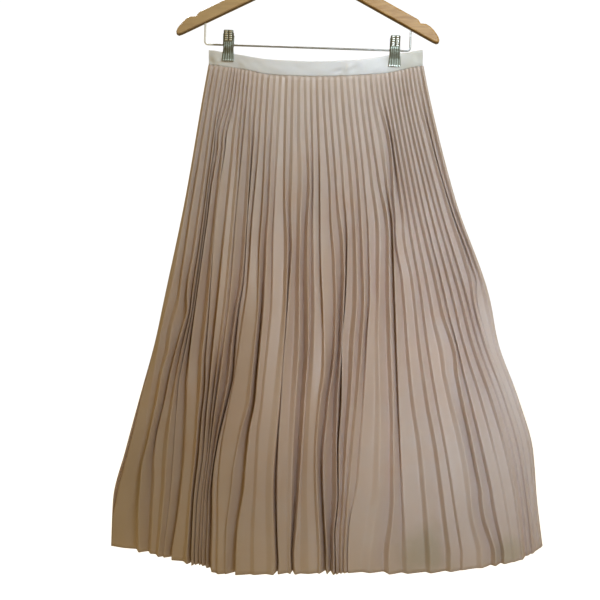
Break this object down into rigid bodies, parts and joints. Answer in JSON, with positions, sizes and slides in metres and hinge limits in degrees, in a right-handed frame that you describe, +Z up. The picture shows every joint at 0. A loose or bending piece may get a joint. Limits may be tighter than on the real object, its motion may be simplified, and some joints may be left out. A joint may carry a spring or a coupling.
{
  "type": "pleated maxi skirt on a clip hanger",
  "caption": "Floor-length sunray-pleated skirt with a plain waistband, hung by steel clips from the bar of a wooden hanger with a wire hook.",
  "frame": {"origin": "top of the inner curve of the hanger's hook, where a rail carries it", "axes": "+Z up, the skirt's front faces -Y, +X to the right as the front is seen"},
  "size_m": [0.7333, 0.112, 1.1205],
  "materials": {
    "skirt_cloth": "light satin, pressed pleats",
    "waistband_cloth": "light satin, flat",
    "hanger_wood": "honey lacquer",
    "hanger_wire": "bright wire",
    "clip_steel": "dark plated steel"
  },
  "bodies": {
    "root": {"skirt_front": "skirt_cloth", "skirt_back": "skirt_cloth", "waistband_front": "waistband_cloth", "waistband_back": "waistband_cloth", "hanger_wood": "hanger_wood", "hanger_hook": "hanger_wire", "hanger_bar": "hanger_wire", "clip_left_front_jaw": "clip_steel", "clip_left_back_jaw": "clip_steel", "clip_left_spring": "clip_steel", "clip_right_front_jaw": "clip_steel", "clip_right_back_jaw": "clip_steel", "clip_right_spring": "clip_steel"}
  },
  "joints": []
}
